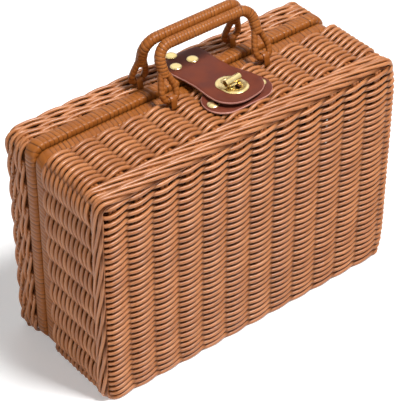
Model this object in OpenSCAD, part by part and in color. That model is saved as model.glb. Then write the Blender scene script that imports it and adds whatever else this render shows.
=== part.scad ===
// Wicker suitcase: a deep front shell and a shallow lid, both twined in round cane,
// hinged at the bottom by cane loops and closed by a leather strap with a turn lock.
// Y = 0 is the middle of the depth, Z = 0 the floor it stands on, the front faces -Y.

/* [Case] */
// width over the edge wale of the front
case_w = 320; // [280:1:360]
// height over the edge wale of the front
case_h = 218; // [190:1:250]
// depth of the front shell, parting face to front
front_d = 93.5; // [80:0.5:120]
// depth of the lid, parting face to back
lid_d = 40.5; // [38:0.5:60]
// corner radius of the edge wale
corner_r = 15; // [14:0.5:24]
// depth of the flat that the wales are pressed to where the case stands
rest_flat = 0.8; // [0.5:0.1:1.2]

/* [Rims] */
// width of the wrapped front rim
front_rim_w = 12.6; // [11.6:0.1:15]
// width of the wrapped lid rim
lid_rim_w = 13.6; // [12.6:0.1:16]
// thickness of both rims
rim_t = 9; // [8.6:0.1:10]
// edge radius of both rims
rim_edge = 3; // [2:0.1:4]
// how far the front rim lies below the wale
rim_inset = 4.2; // [3.8:0.1:5]
// how far the lid rim stands above the front rim at the top
lid_step = 4.2; // [2:0.1:4.6]
// gap between the two rims
parting_gap = 0.6; // [0.5:0.1:1]

/* [Weave] */
// columns of stitches across a panel
columns = 12; // [9:1:15]
// rows of stitches in a panel
rows = 34; // [24:1:36]
// rounds of weave in the front wall
front_rounds = 11; // [8:1:12]
// rounds of weave in the lid wall
lid_rounds = 2; // [1:1:2]
// thickness of a paired strand
strand_d = 4.2; // [3.6:0.1:5]
// thickness of the three wale rods
wale_d = 5.2; // [4.6:0.1:5.6]
// rounds of the top wall that are woven loose, with open gaps
loose_rounds = 3; // [0:1:3]
// rows near the top edge of a panel that are woven loose, with open gaps
loose_rows = 8; // [0:1:10]

/* [Handles] */
// distance between the feet of a handle
handle_span = 101; // [90:1:120]
// foot bar to middle of the grip
handle_len = 45; // [42:0.5:60]
// thickness of the wrapped grip
grip_d = 9.4; // [8:0.1:10]
// thickness of the cane in the eye of a leg
eye_d = 6; // [5:0.1:6.4]
// middle of the front handle
front_handle_x = 21; // [-20:1:24]
// middle of the lid handle
lid_handle_x = 16; // [-20:1:24]
// how far the front handle leans back
front_lean = 25.5; // [22:0.5:26]
// how far the lid handle leans forward
lid_lean = 14; // [8:0.5:14.5]

/* [Closure] */
// middle of the strap where it bends
strap_x = 15; // [-20:0.5:20]
// width of the strap at the back
strap_back_w = 37; // [34:0.5:44]
// width of the strap at the lock
strap_front_w = 51; // [46:0.5:56]
// thickness of the leather
leather_t = 1.8; // [1.4:0.1:2]
// bend line to the round tip of the strap
tongue_len = 73; // [70:0.5:76]
// how far the strap runs askew
strap_skew = 7; // [0:0.5:8]
// how far the tongue rises towards its tip
strap_rise = 4; // [3.5:0.1:5]
// length of the leather patch under the lock
patch_w = 67; // [60:0.5:72]
// width of the leather patch under the lock
patch_d = 37; // [30:0.5:38]
// diameter of the rivet heads
rivet_d = 10.5; // [8:0.1:11]
// length of the oval strap plate
plate_len = 31; // [29:0.5:34]
// width of the oval strap plate
plate_w = 24; // [22:0.5:27]
// length of the turning bar
bar_len = 16; // [12:0.5:18]
// thickness of the turning bar
bar_d = 4.8; // [4:0.1:4.9]

/* [Fits] */
// running clearance of the pivots, on the radius
pivot_fit = 0.06; // [0.03:0.01:0.1]
// gap at a seat
seat = 0.2; // [0.1:0.05:0.3]

/* [Hidden] */
$fn = 48;
part_y = (front_d - lid_d) / 2;
mid_z = case_h / 2;
wall_t = 7.6;
strand_r = strand_d / 2;
wale_r = wale_d / 2;
panel_t = 5;
// the lid is a little lower than the front, and stands on the same floor
lid_drop = 1.8;
lid_mid_z = mid_z - lid_drop / 2;
wale_h = case_h + 2 * rest_flat;
lid_wale_h = wale_h - lid_drop;
wall_w = case_w - 2;
wall_h = case_h - 2;
lid_wall_h = wall_h - lid_drop + 0.4;
rim_ow = case_w - 2 * rim_inset - 1;
rim_oh = case_h - 2 * rim_inset;
rim_r = corner_r - 2;
lid_rim_ow = rim_ow + 1.5 * lid_step;
lid_rim_oh = rim_oh + lid_step;
lid_rim_z = mid_z + lid_step / 2;
lid_rim_top = lid_rim_z + lid_rim_oh / 2;
front_rim_y0 = parting_gap / 2;
front_wall_y0 = front_rim_y0 + front_rim_w + seat;
lid_wall_y0 = front_rim_y0 + lid_rim_w + seat;
wale_len = 3 * wale_d;
front_wall_y1 = front_d - wale_len + 0.1;
lid_wall_y1 = lid_d - wale_len + 1.3;
front_pitch = (front_wall_y1 - front_wall_y0) / front_rounds;
lid_pitch = (lid_wall_y1 - lid_wall_y0) / lid_rounds;
band_u = 9.4;
lid_band_u = 10.6;
// hinge
hinge_z = mid_z - rim_oh / 2 + rim_t / 2;
front_neck_y = -(front_rim_y0 + front_rim_w / 2);
lid_neck_y = front_rim_y0 + lid_rim_w / 2;
neck_r = rim_t / 2 - 0.3;
loop_t = 1.5;
loop_w = 8.4;
neck_len = 10;
hinge_x = case_w * 0.28;
// handles
eye_r = eye_d / 2;
grip_r = grip_d / 2;
bend_r = 13;
eye_w = 14;
eye_h = 21;
pivot_z = mid_z + wall_h / 2 + eye_r + 1.2;
front_pivot_y = -(front_wall_y0 + 1.1 * front_pitch);
lid_pivot_y = lid_wall_y0 + (lid_rounds > 1 ? lid_pitch : lid_pitch / 2);
tie_w = 5;
tie_t = 1.3;
// closure
wall_top = mid_z + wall_h / 2;
bend_y = lid_rim_w - 3.4;
strap_z = lid_rim_top + 0.3 + leather_t / 2;
back_len = 28;
tip_r = 20;
bend_w = strap_back_w + (strap_front_w - strap_back_w) * back_len / (back_len + tongue_len - tip_r);
patch_t = 1.8;
patch_y = -44.5;
patch_x = strap_x - (patch_y - bend_y) * tan(strap_skew) - 1;
patch_z = wall_top + seat / 2;
lock_r = 48.4;
lock_x = strap_x + lock_r * sin(strap_skew);
lock_y = bend_y - lock_r * cos(strap_skew);
plate_t = 0.8;
slot_w = 8;
slot_len = 19;
// strap rivets, from the middle of the bend line: a pair in front and one behind
rivet_spots = [[-11, 6.4], [7, 6.4], [-4.2, 21.8]];
shank_r = 1.5;
strap_shank = 7;
catch_shank = 8;
post_r = 3.1;
pin_r = 1.8;
flange_t = 1.2;
bar_z = strap_z + lock_r * tan(strap_rise) + leather_t / 2 + plate_t + bar_d / 2 + 0.8;

cane = [0.76, 0.50, 0.28];
wrap = [0.70, 0.44, 0.22];
leather = [0.40, 0.18, 0.12];
brass = [0.85, 0.72, 0.42];

// puts what is drawn about the parting plane in its place
module placed() {
    translate([0, part_y, 0]) children();
}

// stands a ring, drawn in the XY plane with its depth along Z, on its edge
module front_side(z) {
    translate([0, 0, z]) rotate([90, 0, 0]) children();
}

module lid_side(z) {
    translate([0, 0, z]) rotate([90, 0, 180]) children();
}

// carries a section round a rectangle with round corners, outwards is the section's +X
module hoop(w, h, r) {
    translate([-(w / 2 - r), h / 2, 0]) rotate([90, 0, 90]) linear_extrude(w - 2 * r) children();
    translate([w / 2 - r, -h / 2, 0]) rotate([90, 0, -90]) linear_extrude(w - 2 * r) children();
    translate([w / 2, h / 2 - r, 0]) rotate([90, 0, 0]) linear_extrude(h - 2 * r) children();
    translate([-w / 2, -(h / 2 - r), 0]) rotate([90, 0, 180]) linear_extrude(h - 2 * r) children();
    for (q = [0:3]) {
        sx = (q == 0 || q == 3) ? 1 : -1;
        sy = q < 2 ? 1 : -1;
        translate([sx * (w / 2 - r), sy * (h / 2 - r), 0])
            rotate([0, 0, q * 90])
                rotate_extrude(angle = 90)
                    translate([r, 0])
                        children();
    }
}

module rounded(w, h, r) {
    square([w - 2 * r, h], center = true);
    square([w, h - 2 * r], center = true);
    for (x = [-1, 1], y = [-1, 1]) {
        translate([x * (w / 2 - r), y * (h / 2 - r)]) circle(r);
    }
}

module stadium(len, wid) {
    square([len - wid, wid], center = true);
    for (x = [-1, 1]) {
        translate([x * (len - wid) / 2, 0]) circle(d = wid);
    }
}

// twined panel: rows of paired strands that dive between the stakes, column by column,
// with open gaps in the loose rows under the top edge
module twined_panel(w, h, r, floor_z) {
    pitch_x = w / columns;
    pitch_y = h / rows;
    face_z = floor_z + panel_t;
    crest_z = face_z + 2.8;
    dive = 3;
    intersection() {
        rotate([90, 0, 90]) linear_extrude(w, center = true) {
            translate([-h / 2, floor_z]) square([h, panel_t]);
            for (j = [0:rows - 1]) {
                translate([-h / 2 + (j + 0.5) * pitch_y, crest_z - strand_r]) circle(strand_r, $fn = 24);
            }
        }
        rotate([90, 0, 0]) linear_extrude(h + 2, center = true) difference() {
            translate([-w / 2 - 1, floor_z - 1]) square([w + 2, crest_z - floor_z + 2]);
            for (i = [1:columns - 1]) {
                translate([-w / 2 + i * pitch_x, face_z])
                    polygon([[-0.4, 0.2], [0.4, 0.2], [dive, 4], [-dive, 4]]);
            }
        }
        translate([0, 0, floor_z - 1]) linear_extrude(crest_z - floor_z + 2) difference() {
            rounded(w, h, r);
            for (i = [1:columns - 1], j = [1:1:loose_rows]) {
                translate([-w / 2 + i * pitch_x, h / 2 - (j + 1) * pitch_y])
                    square([5, pitch_y - strand_d - 0.4], center = true);
            }
        }
    }
}

// section of a side wall: the stake layer with the rounds of paired strands on it
module wall_section(y0, y1, n) {
    pitch = (y1 - y0) / n;
    translate([-wall_t, y0]) square([wall_t - 3, y1 - y0]);
    for (i = [0:n - 1]) {
        translate([-wale_r, y0 + (i + 0.5) * pitch]) circle(wale_r, $fn = 24);
    }
}

// section of an edge wale: three rods rolled over the edge, on the stakes they turn round
module wale_section(d, y0, u, roll) {
    translate([-u, y0]) square([u - 4.2, d - wale_r - 0.2 - y0]);
    translate([-wale_r, y0 + wale_r + 0.1]) circle(wale_r, $fn = 24);
    translate([-wale_r - roll * 0.3, y0 + 3 * wale_r]) circle(wale_r, $fn = 24);
    translate([-wale_r - roll, d - wale_r - 0.2]) circle(wale_r, $fn = 24);
}

module rim_section(w) {
    translate([-rim_t / 2, front_rim_y0 + w / 2]) rounded(rim_t, w, rim_edge);
}

// wrapped rim, turned down to round necks where the hinge loops go round it
module rim(w, h, r, wid) {
    difference() {
        hoop(w, h, r) rim_section(wid);
        for (x = [-hinge_x, hinge_x]) {
            translate([x, -h / 2 + rim_t / 2, front_rim_y0 + wid / 2])
                cube([neck_len, rim_t + 2, wid + 2], center = true);
        }
    }
    for (x = [-hinge_x, hinge_x]) {
        translate([x, -h / 2 + rim_t / 2, front_rim_y0 + wid / 2])
            rotate([0, 90, 0])
                cylinder(r = neck_r, h = neck_len + 2, center = true);
    }
}

// gaps beside the stakes in the last rounds of the top wall, where the weave is loose
module wall_gaps() {
    pitch_x = case_w / columns;
    for (i = [1:columns - 1], j = [1:loose_rounds]) {
        translate([-case_w / 2 + i * pitch_x, -(front_wall_y1 - j * front_pitch), wall_top - wall_t / 2])
            cube([6, front_pitch - strand_d - 0.4, wall_t + 4], center = true);
    }
}

// slot in a wall for the tail of a handle tie
module tie_slots(x, y) {
    for (s = [-1, 1]) {
        translate([x + s * handle_span / 2, y, wall_top - 2])
            cube([tie_w + 0.4, 2.8, 6], center = true);
    }
}

module tie(x, y) {
    for (s = [-1, 1]) {
        translate([x + s * handle_span / 2, y, 0]) {
            difference() {
                union() {
                    translate([0, 0, pivot_z]) rotate([0, 90, 0])
                        cylinder(r = eye_r + pivot_fit + tie_t, h = tie_w, center = true);
                    translate([-tie_w / 2, -1.2, wall_top - 4.8])
                        cube([tie_w, 2.4, pivot_z - wall_top + 2]);
                }
                translate([0, 0, pivot_z]) rotate([0, 90, 0])
                    cylinder(r = eye_r + pivot_fit, h = tie_w + 2, center = true);
            }
        }
    }
}

// handle standing on its foot bars, along X, with the grip at handle_len
module handle() {
    half = handle_span / 2;
    turn = eye_r + 1;
    for (s = [-1, 1]) {
        translate([s * half, 0, 0]) {
            for (z = [0, eye_h]) {
                translate([0, 0, z]) rotate([0, 90, 0])
                    cylinder(r = eye_r, h = eye_w - 2 * turn, center = true);
            }
            for (x = [-1, 1]) {
                translate([x * eye_w / 2, 0, turn]) cylinder(r = eye_r, h = eye_h - 2 * turn);
                translate([x * (eye_w / 2 - turn), 0, turn])
                    rotate([90, 0, 0]) rotate([0, 0, x > 0 ? -90 : 180])
                        rotate_extrude(angle = 90) translate([turn, 0]) circle(eye_r);
                translate([x * (eye_w / 2 - turn), 0, eye_h - turn])
                    rotate([90, 0, 0]) rotate([0, 0, x > 0 ? 0 : 90])
                        rotate_extrude(angle = 90) translate([turn, 0]) circle(eye_r);
            }
            translate([0, 0, eye_h - eye_r + 0.4]) cylinder(r = grip_r, h = handle_len - bend_r - eye_h + eye_r - 0.4);
            translate([-s * bend_r, 0, handle_len - bend_r])
                rotate([90, 0, 0]) rotate([0, 0, s > 0 ? 0 : 90])
                    rotate_extrude(angle = 90) translate([bend_r, 0]) circle(grip_r);
        }
    }
    translate([0, 0, handle_len]) rotate([0, 90, 0])
        cylinder(r = grip_r, h = handle_span - 2 * bend_r, center = true);
}

// dome rivet with its head seated at z
module rivet(z, depth) {
    dome = 2.1;
    ball = (rivet_d * rivet_d / 4 + dome * dome) / (2 * dome);
    intersection() {
        translate([0, 0, z + dome - ball]) sphere(ball);
        translate([0, 0, z]) cylinder(d = rivet_d + 1, h = dome + 1);
    }
    translate([0, 0, z - depth]) cylinder(r = shank_r, h = depth + 0.5);
}

module strap_rivet_spots() {
    for (spot = rivet_spots) {
        translate([strap_x + spot[0], bend_y + spot[1], 0]) children();
    }
}

module catch_rivet_spots() {
    for (s = [-1, 1]) {
        translate([patch_x + s * (patch_w / 2 - 8), patch_y, 0]) children();
    }
}

// leather outline along -Y from the bend line, tip round
module tongue_outline() {
    wide = strap_front_w / 2;
    narrow = bend_w / 2;
    polygon([[-wide, tip_r - tongue_len], [wide, tip_r - tongue_len], [narrow, -seat], [-narrow, -seat]]);
    for (s = [-1, 1]) {
        translate([s * (wide - tip_r), tip_r - tongue_len]) circle(tip_r);
    }
    translate([tip_r - wide, -tongue_len]) square([2 * (wide - tip_r), tip_r]);
}

// places what lies on the tongue, drawn flat with the top of the leather at zero
module on_tongue() {
    translate([strap_x, bend_y, strap_z + leather_t / 2])
        rotate([0, 0, strap_skew])
            rotate([-strap_rise, 0, 0])
                children();
}

module lock_slot(grow) {
    translate([0, -lock_r / cos(strap_rise)]) rotate(90) stadium(slot_len + 2 * grow, slot_w + 2 * grow);
}

module front_panel() {
    color(cane) placed() front_side(mid_z)
        twined_panel(case_w - 2 * band_u - 2 * seat, wale_h - 2 * band_u - 2 * seat,
            corner_r - band_u - seat, front_d - 2.9 - panel_t);
}

module front_wall() {
    color(cane) placed() difference() {
        front_side(mid_z) hoop(wall_w, wall_h, corner_r - 1)
            wall_section(front_wall_y0, front_wall_y1, front_rounds);
        tie_slots(front_handle_x, front_pivot_y);
        wall_gaps();
        catch_rivet_spots() translate([0, 0, wall_top - 20]) cylinder(r = shank_r + 0.1, h = 30);
    }
}

module front_wale() {
    color(cane) placed() difference() {
        front_side(mid_z) hoop(case_w, wale_h, corner_r)
            wale_section(front_d, front_wall_y1 + seat, band_u, 2.2);
        translate([0, 0, -10]) cube([2 * case_w, 4 * front_d, 20], center = true);
    }
}

module front_rim() {
    color(wrap) placed() front_side(mid_z) rim(rim_ow, rim_oh, rim_r, front_rim_w);
}

module front_handle_ties() {
    color(wrap) placed() tie(front_handle_x, front_pivot_y);
}

module catch_patch() {
    color(leather) placed() translate([0, 0, patch_z]) linear_extrude(patch_t) difference() {
        translate([patch_x, patch_y]) stadium(patch_w, patch_d);
        catch_rivet_spots() circle(shank_r + 0.1);
    }
}

module catch_rivets() {
    color(brass) placed() catch_rivet_spots() rivet(patch_z + patch_t, catch_shank);
}

module lock_post() {
    flange_z = patch_z + patch_t;
    color(brass) placed() translate([lock_x, lock_y, flange_z]) difference() {
        union() {
            linear_extrude(flange_t) rotate(strap_skew) rotate(90) stadium(24, 15);
            cylinder(r = post_r, h = bar_z - bar_d / 2 - 0.8 - flange_z);
        }
        translate([0, 0, flange_t]) cylinder(r = pin_r + pivot_fit, h = 40);
    }
}

module lock_bar() {
    base_z = bar_z - bar_d / 2 - 0.6;
    color(brass) placed() translate([lock_x, lock_y, 0]) {
        translate([0, 0, bar_z]) rotate([0, 0, strap_skew]) rotate([0, 90, 0])
            cylinder(d = bar_d, h = bar_len, center = true);
        translate([0, 0, base_z]) cylinder(r = post_r, h = bar_z - base_z);
        translate([0, 0, base_z - 4]) cylinder(r = pin_r, h = 5);
    }
}

module hinge_loops() {
    far = lid_neck_y - front_neck_y;
    inner_r = neck_r + pivot_fit;
    color(wrap) placed() for (x = [-hinge_x, hinge_x]) {
        translate([x - loop_w / 2, (lid_neck_y + front_neck_y) / 2, hinge_z])
            rotate([90, 0, 90]) linear_extrude(loop_w) difference() {
                stadium(far + 2 * (inner_r + loop_t), 2 * (inner_r + loop_t));
                stadium(far + 2 * inner_r, 2 * inner_r);
            }
    }
}

module lid_panel() {
    color(cane) placed() lid_side(lid_mid_z)
        twined_panel(case_w - 2 * lid_band_u - 2 * seat, lid_wale_h - 2 * lid_band_u - 2 * seat,
            corner_r - lid_band_u - seat, lid_d - 2.9 - panel_t);
}

module lid_wall() {
    color(cane) placed() difference() {
        lid_side(lid_mid_z) hoop(wall_w, lid_wall_h, corner_r - 1)
            wall_section(lid_wall_y0, lid_wall_y1, lid_rounds);
        tie_slots(lid_handle_x, lid_pivot_y);
        strap_rivet_spots() translate([0, 0, wall_top - 20]) cylinder(r = shank_r + 0.1, h = 30);
    }
}

module lid_wale() {
    color(cane) placed() difference() {
        lid_side(lid_mid_z) hoop(case_w, lid_wale_h, corner_r)
            wale_section(lid_d, lid_wall_y1 + seat, lid_band_u, 3.4);
        translate([0, 0, -10]) cube([2 * case_w, 4 * front_d, 20], center = true);
        strap_rivet_spots() translate([0, 0, wall_top - 20]) cylinder(r = shank_r + 0.1, h = 30);
    }
}

module lid_rim() {
    color(wrap) placed() lid_side(lid_rim_z) rim(lid_rim_ow, lid_rim_oh, rim_r + 1, lid_rim_w);
}

module lid_handle_ties() {
    color(wrap) placed() tie(lid_handle_x, lid_pivot_y);
}

module strap_back() {
    wide = bend_w / 2;
    narrow = strap_back_w / 2;
    color(leather) placed() translate([0, 0, strap_z - leather_t / 2]) linear_extrude(leather_t) difference() {
        translate([strap_x, bend_y]) rotate(strap_skew)
            polygon([[-wide, 0], [wide, 0], [narrow, back_len], [-narrow, back_len]]);
        strap_rivet_spots() circle(shank_r + 0.1);
    }
}

module strap_rivets() {
    color(brass) placed() strap_rivet_spots() rivet(strap_z + leather_t / 2, strap_shank);
}

module strap_tongue() {
    color(leather) placed() on_tongue() translate([0, 0, -leather_t]) linear_extrude(leather_t) difference() {
        tongue_outline();
        lock_slot(0.4);
    }
}

module strap_plate() {
    color(brass) placed() on_tongue() linear_extrude(plate_t) difference() {
        translate([0, -lock_r / cos(strap_rise)]) rotate(90) stadium(plate_len, plate_w);
        lock_slot(0);
    }
}

module front_handle() {
    color(wrap) placed() translate([front_handle_x, front_pivot_y, pivot_z])
        rotate([-front_lean, 0, 0]) handle();
}

module lid_handle() {
    color(wrap) placed() translate([lid_handle_x, lid_pivot_y, pivot_z])
        rotate([lid_lean, 0, 0]) handle();
}

front_panel();
front_wall();
front_wale();
front_rim();
front_handle_ties();
catch_patch();
catch_rivets();
lock_post();
hinge_loops();
lock_bar();
lid_panel();
lid_wall();
lid_wale();
lid_rim();
lid_handle_ties();
strap_back();
strap_rivets();
strap_tongue();
strap_plate();
front_handle();
lid_handle();
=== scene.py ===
# %% [markdown]
# # A wicker suitcase
# The case is two woven shells, hinged at the bottom and closed by a leather strap.
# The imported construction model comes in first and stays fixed: it says where every
# piece sits and what moves. Each woven, wound or sewn piece is then made over it.

# %% Load the fixed frame
import math

import bmesh
import bpy
from mathutils import Matrix, Vector


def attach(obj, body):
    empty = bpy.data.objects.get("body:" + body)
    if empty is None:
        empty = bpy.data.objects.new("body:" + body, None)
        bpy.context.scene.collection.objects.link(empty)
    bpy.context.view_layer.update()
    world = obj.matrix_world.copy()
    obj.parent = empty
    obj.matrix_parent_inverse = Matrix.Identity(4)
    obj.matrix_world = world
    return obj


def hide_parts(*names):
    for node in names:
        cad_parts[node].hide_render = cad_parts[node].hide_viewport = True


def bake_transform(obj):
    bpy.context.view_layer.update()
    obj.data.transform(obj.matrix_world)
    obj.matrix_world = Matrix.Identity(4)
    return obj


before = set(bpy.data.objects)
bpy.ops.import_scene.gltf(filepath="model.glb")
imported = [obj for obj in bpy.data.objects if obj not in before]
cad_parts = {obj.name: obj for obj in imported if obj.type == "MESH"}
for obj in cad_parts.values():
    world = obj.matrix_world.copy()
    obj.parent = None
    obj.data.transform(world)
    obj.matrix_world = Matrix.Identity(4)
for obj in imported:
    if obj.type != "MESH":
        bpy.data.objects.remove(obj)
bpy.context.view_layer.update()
scene = bpy.context.scene
MM = 0.001

# %% [markdown]
# ## Where the main faces are
# The two shells meet at a parting plane. Distances into the front run towards -Y
# from there, and distances into the lid run towards +Y, so one number places each
# row of weave. All lengths below are in millimetres until they reach a mesh.

# %% Main sizes
PART_Y = 26.5
CASE_W = 320.0
CASE_H = 218.0
MID_Z = 109.0
LID_MID_Z = 108.1


def at(x, rel_y, z):
    """A point in metres from millimetres, with y measured from the parting plane."""
    return Vector((x * MM, (rel_y + PART_Y) * MM, z * MM))


print("case", CASE_W, "x", CASE_H, "mm, parting plane at y =", PART_Y)

# %% [markdown]
# ## One function for nodes
# Materials and Geometry Nodes trees are both graphs. One small function adds a node,
# sets it up and links its inputs, so every graph below reads as a list of steps. The
# steps that come up most, arithmetic above all, have short names built on it.

# %% Node helper and colours


def add(tree, kind, links=(), out=0, **settings):
    """Adds a node; gives back one of its outputs, or the node when out is None."""
    node = tree.nodes.new(kind)
    for name, value in settings.items():
        setattr(node, name, value)
    pairs = links.items() if isinstance(links, dict) else enumerate(links)
    for key, value in pairs:
        if isinstance(value, bpy.types.NodeSocket):
            tree.links.new(value, node.inputs[key])
        elif value is not None:
            node.inputs[key].default_value = value
    return node if out is None else node.outputs[out]


def calc(tree, operation, *values):
    """One step of arithmetic."""
    return add(tree, "ShaderNodeMath", values, operation=operation)


def vector(tree, operation, *values):
    """One step of vector arithmetic."""
    return add(tree, "ShaderNodeVectorMath", values, operation=operation)


def scaled(tree, arrow, factor):
    """A vector times a number."""
    return add(tree, "ShaderNodeVectorMath", {0: arrow, "Scale": factor}, operation="SCALE")


def blend(tree, share, a, b):
    """A number between a and b."""
    return add(tree, "ShaderNodeMix", (share, None, a, b), data_type="FLOAT")


def linear(code):
    """An sRGB hex colour as linear RGBA."""
    parts = [int(code[i:i + 2], 16) / 255 for i in (1, 3, 5)]
    return [c / 12.92 if c <= 0.04045 else ((c + 0.055) / 1.055) ** 2.4 for c in parts] + [1.0]


def ramp_of(tree, value, stops):
    """A colour ramp through two or three (place, hex) stops."""
    ramp = add(tree, "ShaderNodeValToRGB", (value,), out=None)
    points = ramp.color_ramp.elements
    if len(stops) > 2:
        points.new(0.5)
    for element, (place, code) in zip(points, stops):
        element.position = place
        element.color = linear(code)
    return ramp.outputs[0]


def new_material(name):
    """An empty material with its shader and output joined."""
    material = bpy.data.materials.new(name)
    material.use_nodes = True
    tree = material.node_tree
    tree.nodes.clear()
    shader = add(tree, "ShaderNodeBsdfPrincipled", out=None)
    add(tree, "ShaderNodeOutputMaterial", {"Surface": shader.outputs[0]}, out=None)
    return material, tree, shader


print("helpers ready")

# %% [markdown]
# ## Round plastic cane
# The strands are extruded plastic cane: a satin tube with faint streaks along it.
# Each strand was cut from another length, so every one has its own tone, and the
# colour drifts slowly on the way. The tone is an attribute that the weave stores, and
# so is how deep a face lies behind the stakes: there the colour is painted darker and
# the sheen lowered, a painted shade.

# %% Cane material
CANE_TONES = ((0.0, "#8F5328"), (0.5, "#A56638"), (1.0, "#B97A4B"))


def cane_material(name, tones, rough, ior):
    material, tree, shader = new_material(name)
    where = add(tree, "ShaderNodeTexCoord", out=3)
    drift = add(tree, "ShaderNodeTexNoise", {"Vector": where, "Scale": 1 / (22 * MM), "Detail": 3.0})
    streak = add(tree, "ShaderNodeTexNoise", {"Vector": where, "Scale": 1 / (2.4 * MM), "Detail": 2.0})
    tone = add(tree, "ShaderNodeAttribute", attribute_name="tone", out=2)
    mixed = calc(tree, "MULTIPLY_ADD", tone, 0.5, drift)
    mixed = calc(tree, "MULTIPLY_ADD", streak, 0.4, mixed)
    spread = add(tree, "ShaderNodeMapRange", (mixed, 0.35, 1.55, 0.0, 1.0))
    colour = ramp_of(tree, spread, tones)
    # Painted shade: faces that lie deep behind the stakes get dark brown mixed into their colour and less sheen.
    hollow = add(tree, "ShaderNodeAttribute", attribute_name="hollow", out=2)
    shade = add(tree, "ShaderNodeMapRange", (hollow, 0.0, 1.0, 0.0, 0.9))
    dark = add(tree, "ShaderNodeMix", {"Factor": shade, "A": colour, "B": linear("#2E0B01")}, out=2,
               data_type="RGBA")
    tree.links.new(dark, shader.inputs["Base Color"])
    shine = add(tree, "ShaderNodeMapRange", (streak, 0.3, 0.7, rough - 0.05, rough + 0.08))
    tree.links.new(shine, shader.inputs["Roughness"])
    bump = add(tree, "ShaderNodeBump", {"Height": streak, "Strength": 0.12, "Distance": 0.2 * MM})
    tree.links.new(bump, shader.inputs["Normal"])
    dull = add(tree, "ShaderNodeMapRange", (hollow, 0.0, 1.0, 0.5, 0.05))
    tree.links.new(dull, shader.inputs["Specular IOR Level"])
    shader.inputs["IOR"].default_value = ior
    return material


round_cane = cane_material("round plastic cane", CANE_TONES, 0.36, 1.5)
print("material:", round_cane.name)

# %% [markdown]
# ## Flat wound cane
# Rims and handles are wound with flat cane, edge to edge. It is a little redder and
# shinier than the round strands, and dirt and shadow gather where two turns meet.
# The winding stores how near a point is to such a seam.

# %% Wound cane material


def wound_material(name, tones, rough):
    material = cane_material(name, tones, rough, 1.27)
    tree = material.node_tree
    shader = next(n for n in tree.nodes if n.type == "BSDF_PRINCIPLED")
    base = shader.inputs["Base Color"].links[0].from_socket
    seam = add(tree, "ShaderNodeAttribute", attribute_name="seam", out=2)
    depth = add(tree, "ShaderNodeMapRange", (seam, 0.2, 0.75, 0.0, 0.8))
    dark = add(tree, "ShaderNodeMix", {"Factor": depth, "A": base, "B": linear("#2E1204")}, out=2,
               data_type="RGBA")
    tree.links.new(dark, shader.inputs["Base Color"])
    return material


WOUND_TONES = ((0.0, "#834718"), (0.5, "#915320"), (1.0, "#9F5F2A"))
wound_cane = wound_material("flat wound cane", WOUND_TONES, 0.34)
print("material:", wound_cane.name)

# %% [markdown]
# ## Geometry Nodes trees
# A tree is a recipe with named inputs. An empty mesh carries it as a modifier, the
# inputs are set, and the evaluated result becomes a plain mesh, so that the export
# and the moving bodies find an ordinary piece.

# %% Tree helpers


def new_tree(name, inputs):
    """A tree with named inputs; gives back the tree and its input sockets."""
    tree = bpy.data.node_groups.new(name, "GeometryNodeTree")
    kinds = {"f": "NodeSocketFloat", "i": "NodeSocketInt", "v": "NodeSocketVector",
             "o": "NodeSocketObject", "m": "NodeSocketMaterial"}
    for label, kind in inputs.items():
        tree.interface.new_socket(label, in_out="INPUT", socket_type=kinds[kind])
    tree.interface.new_socket("Geometry", in_out="OUTPUT", socket_type="NodeSocketGeometry")
    sockets = add(tree, "NodeGroupInput", out=None).outputs
    return tree, {label: sockets[label] for label in inputs}


def shape_of(tree, holder):
    """The geometry of the object in a socket."""
    return add(tree, "GeometryNodeObjectInfo", {"Object": holder}, out=None).outputs["Geometry"]


def store(tree, geometry, name, value, kind="FLOAT"):
    """Keeps a value on every point under a name."""
    return add(tree, "GeometryNodeStoreNamedAttribute", {"Geometry": geometry, "Name": name, "Value": value},
               data_type=kind, domain="POINT")


def end_tree(tree, geometry, material):
    """Every tree ends with real geometry, smooth shading and its material."""
    real = add(tree, "GeometryNodeRealizeInstances", (geometry,))
    smooth = add(tree, "GeometryNodeSetShadeSmooth", (real,))
    painted = add(tree, "GeometryNodeSetMaterial", {"Geometry": smooth, "Material": material})
    add(tree, "NodeGroupOutput", (painted,), out=None)


def grow(name, tree, values):
    """Runs a tree on an empty mesh and keeps the result as a plain mesh object."""
    piece = bpy.data.objects.new(name, bpy.data.meshes.new(name))
    scene.collection.objects.link(piece)
    maker = piece.modifiers.new("maker", "NODES")
    maker.node_group = tree
    names = {s.name: s.identifier for s in tree.interface.items_tree if s.in_out == "INPUT"}
    for label, value in values.items():
        maker[names[label]] = value
    graph = bpy.context.evaluated_depsgraph_get()
    mesh = bpy.data.meshes.new_from_object(
        piece.evaluated_get(graph), preserve_all_data_layers=True, depsgraph=graph)
    piece.modifiers.clear()
    piece.data = mesh
    return piece


def count(piece):
    """Prints and gives the number of triangles in a piece."""
    faces = sum(len(p.vertices) - 2 for p in piece.data.polygons)
    print(piece.name, faces, "triangles")
    return faces


def to_piece(mesh, name, materials=()):
    """Turns a bmesh into an object with its materials."""
    bmesh.ops.recalc_face_normals(mesh, faces=mesh.faces)
    data = bpy.data.meshes.new(name)
    mesh.to_mesh(data)
    mesh.free()
    for material in materials:
        data.materials.append(material)
    piece = bpy.data.objects.new(name, data)
    scene.collection.objects.link(piece)
    return piece


def join(pieces, name):
    """Makes one mesh object out of several."""
    mesh = bmesh.new()
    for piece in pieces:
        mesh.from_mesh(piece.data)
    target = pieces[0]
    for piece in pieces[1:]:
        bpy.data.objects.remove(piece)
    mesh.to_mesh(target.data)
    mesh.free()
    target.name = name
    return target


print("tree helpers ready")

# %% [markdown]
# ## Twined rows
# Pairing is the oldest basket stitch: two strands twist round each other and enclose
# one stake at every half turn. Seen along the row each strand is a helix with an oval
# section, so its place follows from one angle. Wales are the same with more strands
# and a longer twist. One tree makes panels, walls and wales from that rule.

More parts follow.
